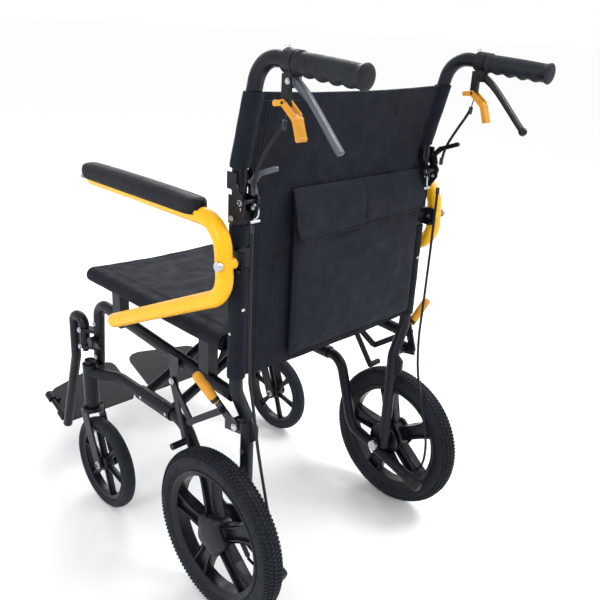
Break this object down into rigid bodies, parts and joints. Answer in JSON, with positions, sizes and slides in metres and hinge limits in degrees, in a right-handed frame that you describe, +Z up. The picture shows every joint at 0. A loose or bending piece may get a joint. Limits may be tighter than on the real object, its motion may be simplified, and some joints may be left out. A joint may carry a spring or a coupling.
{
  "type": "manual wheelchair",
  "caption": "Folding attendant-propelled transit wheelchair with half-folding back, flip-up arms, swing-away footrests, hand brakes and a parking brake on each side.",
  "frame": {"origin": "on the floor, in the centre plane, under the middle of the overall length", "axes": "+Z up, -Y towards the front, +X to the sitter's left"},
  "size_m": [0.546, 0.9408, 0.9336],
  "materials": {
    "frame_paint": "satin powder coat",
    "black_plastic": "matt",
    "lever_paint": "satin",
    "yellow_paint": "gloss powder coat",
    "ochre_plastic": "satin",
    "pad_vinyl": "soft vinyl",
    "grip_rubber": "matt",
    "tyre": "matt",
    "zinc_steel": "zinc plated",
    "cable_rubber": "satin",
    "nylon": "woven"
  },
  "bodies": {
    "left_frame": {"side_frame_left": "frame_paint", "back_post_left": "frame_paint", "back_hinge_left": "black_plastic", "drum_plate_left": "zinc_steel", "pivot_bolts_left": "zinc_steel", "brake_bracket_left": "frame_paint", "lower_cable_left": "cable_rubber", "back_sling_lower": "nylon", "back_pocket": "nylon"},
    "right_frame": {"side_frame_right": "frame_paint", "back_post_right": "frame_paint", "back_hinge_right": "black_plastic", "drum_plate_right": "zinc_steel", "pivot_bolts_right": "zinc_steel", "brake_bracket_right": "frame_paint", "lower_cable_right": "cable_rubber"},
    "brace_a": {"brace_a": "frame_paint"},
    "brace_b": {"brace_b": "frame_paint"},
    "seat": {"seat_sling": "nylon"},
    "back_upper_left": {"cane_left": "frame_paint", "grip_left": "grip_rubber", "lever_clamp_left": "black_plastic", "upper_cable_left": "cable_rubber", "back_sling_upper": "nylon"},
    "back_upper_right": {"cane_right": "frame_paint", "grip_right": "grip_rubber", "lever_clamp_right": "black_plastic", "upper_cable_right": "cable_rubber"},
    "brake_lever_left": {"brake_lever_left": "lever_paint"},
    "lock_latch_left": {"lock_latch_left": "ochre_plastic"},
    "back_latch_left": {"back_latch_left": "black_plastic"},
    "arm_left": {"arm_tube_left": "yellow_paint", "arm_pad_left": "pad_vinyl"},
    "hanger_left": {"hanger_left": "frame_paint"},
    "hanger_latch_left": {"hanger_latch_left": "black_plastic"},
    "footplate_left": {"footplate_left": "black_plastic"},
    "caster_fork_left": {"caster_fork_left": "frame_paint"},
    "caster_wheel_left": {"caster_rim_left": "black_plastic", "caster_tyre_left": "tyre"},
    "rear_wheel_left": {"rear_rim_left": "black_plastic", "rear_tyre_left": "tyre"},
    "parking_lever_left": {"parking_lever_left": "ochre_plastic"},
    "parking_link_left": {"parking_link_left": "frame_paint"},
    "parking_shoe_left": {"parking_shoe_left": "frame_paint"},
    "brake_lever_right": {"brake_lever_right": "lever_paint"},
    "lock_latch_right": {"lock_latch_right": "ochre_plastic"},
    "back_latch_right": {"back_latch_right": "black_plastic"},
    "arm_right": {"arm_tube_right": "yellow_paint", "arm_pad_right": "pad_vinyl"},
    "hanger_right": {"hanger_right": "frame_paint"},
    "hanger_latch_right": {"hanger_latch_right": "black_plastic"},
    "footplate_right": {"footplate_right": "black_plastic"},
    "caster_fork_right": {"caster_fork_right": "frame_paint"},
    "caster_wheel_right": {"caster_rim_right": "black_plastic", "caster_tyre_right": "tyre"},
    "rear_wheel_right": {"rear_rim_right": "black_plastic", "rear_tyre_right": "tyre"},
    "parking_lever_right": {"parking_lever_right": "ochre_plastic"},
    "parking_link_right": {"parking_link_right": "frame_paint"},
    "parking_shoe_right": {"parking_shoe_right": "frame_paint"}
  },
  "joints": [
    {"name": "frame_fold", "type": "hinge", "parent": "left_frame", "child": "brace_a", "pos_m": [0.207, 0.023, 0.29], "axis": [0, 1, 0], "range_deg": [0, 45], "deforming": ["seat_sling", "back_sling_lower", "back_sling_upper", "back_pocket"]},
    {"name": "brace_scissor", "type": "hinge", "parent": "brace_a", "child": "brace_b", "pos_m": [0, 0.023, 0.3875], "axis": [0, 1, 0], "range_deg": [-90, 0]},
    {"name": "right_frame_pivot", "type": "hinge", "parent": "brace_b", "child": "right_frame", "pos_m": [-0.207, 0.023, 0.29], "axis": [0, 1, 0], "range_deg": [0, 45]},
    {"name": "seat_pivot", "type": "hinge", "parent": "brace_b", "child": "seat", "pos_m": [0.207, 0.023, 0.485], "axis": [0, 1, 0], "range_deg": [0, 45]},
    {"name": "back_fold", "type": "hinge", "parent": "left_frame", "child": "back_upper_left", "pos_m": [0.216, 0.275, 0.726], "axis": [-1, 0, 0], "range_deg": [0, 105]},
    {"name": "brake_lever_left", "type": "hinge", "parent": "back_upper_left", "child": "brake_lever_left", "pos_m": [0.216, 0.355, 0.89446], "axis": [1, 0, 0], "range_deg": [0, 20], "stiffness_Nm_per_rad": 0.8, "springref_deg": -17.19},
    {"name": "lock_latch_left", "type": "hinge", "parent": "back_upper_left", "child": "lock_latch_left", "pos_m": [0.216, 0.343, 0.86746], "axis": [1, 0, 0], "range_deg": [0, 18]},
    {"name": "back_latch_left", "type": "hinge", "parent": "back_upper_left", "child": "back_latch_left", "pos_m": [0.216, 0.281, 0.756], "axis": [1, 0, 0], "range_deg": [0, 30]},
    {"name": "arm_left", "type": "hinge", "parent": "left_frame", "child": "arm_left", "pos_m": [0.253, 0.274, 0.64], "axis": [-1, 0, 0], "range_deg": [0, 80]},
    {"name": "hanger_left", "type": "hinge", "parent": "left_frame", "child": "hanger_left", "pos_m": [0.224, -0.211, 0.36], "axis": [0, 0, 1], "range_deg": [0, 90]},
    {"name": "footplate_left", "type": "hinge", "parent": "hanger_left", "child": "footplate_left", "pos_m": [0.218, -0.331, 0.091], "axis": [0, 0.9272, -0.3746], "range_deg": [0, 90]},
    {"name": "hanger_latch_left", "type": "hinge", "parent": "left_frame", "child": "hanger_latch_left", "pos_m": [0.224, -0.181, 0.348], "axis": [1, 0, 0], "range_deg": [0, 40]},
    {"name": "caster_swivel_left", "type": "hinge", "parent": "left_frame", "child": "caster_fork_left", "pos_m": [0.238, -0.171, 0.26], "axis": [0, 0, 1], "continuous": true},
    {"name": "caster_spin_left", "type": "hinge", "parent": "caster_fork_left", "child": "caster_wheel_left", "pos_m": [0.238, -0.128, 0.098], "axis": [1, 0, 0], "continuous": true},
    {"name": "rear_wheel_left", "type": "hinge", "parent": "left_frame", "child": "rear_wheel_left", "pos_m": [0.239, 0.243, 0.151], "axis": [1, 0, 0], "continuous": true},
    {"name": "parking_lever_left", "type": "hinge", "parent": "left_frame", "child": "parking_lever_left", "pos_m": [0.228, 0.271, 0.366], "axis": [1, 0, 0], "range_deg": [-41, 0]},
    {"name": "parking_link_left", "type": "hinge", "parent": "parking_lever_left", "child": "parking_link_left", "pos_m": [0.233, 0.24076, 0.38328], "axis": [1, 0, 0], "range_deg": [0, 41]},
    {"name": "parking_shoe_left", "type": "hinge", "parent": "left_frame", "child": "parking_shoe_left", "pos_m": [0.229, 0.103, 0.378], "axis": [1, 0, 0], "range_deg": [0, 18.38]},
    {"name": "back_fold_right", "type": "hinge", "parent": "right_frame", "child": "back_upper_right", "pos_m": [-0.216, 0.275, 0.726], "axis": [-1, 0, 0], "range_deg": [0, 105]},
    {"name": "brake_lever_right", "type": "hinge", "parent": "back_upper_right", "child": "brake_lever_right", "pos_m": [-0.216, 0.355, 0.89446], "axis": [1, 0, 0], "range_deg": [0, 20], "stiffness_Nm_per_rad": 0.8, "springref_deg": -17.19},
    {"name": "lock_latch_right", "type": "hinge", "parent": "back_upper_right", "child": "lock_latch_right", "pos_m": [-0.216, 0.343, 0.86746], "axis": [1, 0, 0], "range_deg": [0, 18]},
    {"name": "back_latch_right", "type": "hinge", "parent": "back_upper_right", "child": "back_latch_right", "pos_m": [-0.216, 0.281, 0.756], "axis": [1, 0, 0], "range_deg": [0, 30]},
    {"name": "arm_right", "type": "hinge", "parent": "right_frame", "child": "arm_right", "pos_m": [-0.253, 0.274, 0.64], "axis": [-1, 0, 0], "range_deg": [0, 80]},
    {"name": "hanger_right", "type": "hinge", "parent": "right_frame", "child": "hanger_right", "pos_m": [-0.224, -0.211, 0.36], "axis": [0, 0, -1], "range_deg": [0, 90]},
    {"name": "footplate_right", "type": "hinge", "parent": "hanger_right", "child": "footplate_right", "pos_m": [-0.218, -0.331, 0.091], "axis": [0, -0.9272, 0.3746], "range_deg": [0, 90]},
    {"name": "hanger_latch_right", "type": "hinge", "parent": "right_frame", "child": "hanger_latch_right", "pos_m": [-0.224, -0.181, 0.348], "axis": [1, 0, 0], "range_deg": [0, 40]},
    {"name": "caster_swivel_right", "type": "hinge", "parent": "right_frame", "child": "caster_fork_right", "pos_m": [-0.238, -0.171, 0.26], "axis": [0, 0, 1], "continuous": true},
    {"name": "caster_spin_right", "type": "hinge", "parent": "caster_fork_right", "child": "caster_wheel_right", "pos_m": [-0.238, -0.128, 0.098], "axis": [1, 0, 0], "continuous": true},
    {"name": "rear_wheel_right", "type": "hinge", "parent": "right_frame", "child": "rear_wheel_right", "pos_m": [-0.239, 0.243, 0.151], "axis": [1, 0, 0], "continuous": true},
    {"name": "parking_lever_right", "type": "hinge", "parent": "right_frame", "child": "parking_lever_right", "pos_m": [-0.228, 0.271, 0.366], "axis": [1, 0, 0], "range_deg": [0, 41]},
    {"name": "parking_link_right", "type": "hinge", "parent": "parking_lever_right", "child": "parking_link_right", "pos_m": [-0.233, 0.25951, 0.39888], "axis": [1, 0, 0], "range_deg": [-41, 0]},
    {"name": "parking_shoe_right", "type": "hinge", "parent": "right_frame", "child": "parking_shoe_right", "pos_m": [-0.229, 0.103, 0.378], "axis": [1, 0, 0], "range_deg": [-18.38, 0]}
  ],
  "couplings": [
    {"joint": "brace_scissor", "follows": "frame_fold", "ratio": -2},
    {"joint": "right_frame_pivot", "follows": "frame_fold", "ratio": 1},
    {"joint": "seat_pivot", "follows": "frame_fold", "ratio": 1},
    {"joint": "footplate_left", "follows": "frame_fold", "ratio": 2},
    {"joint": "parking_link_left", "follows": "parking_lever_left", "ratio": -1},
    {"joint": "parking_shoe_left", "follows": "parking_lever_left", "ratio": -0.44801},
    {"joint": "footplate_right", "follows": "frame_fold", "ratio": 2},
    {"joint": "parking_link_right", "follows": "parking_lever_right", "ratio": -1},
    {"joint": "parking_shoe_right", "follows": "parking_lever_right", "ratio": -0.44801},
    {"joint": "back_fold_right", "follows": "back_fold", "ratio": 1}
  ]
}
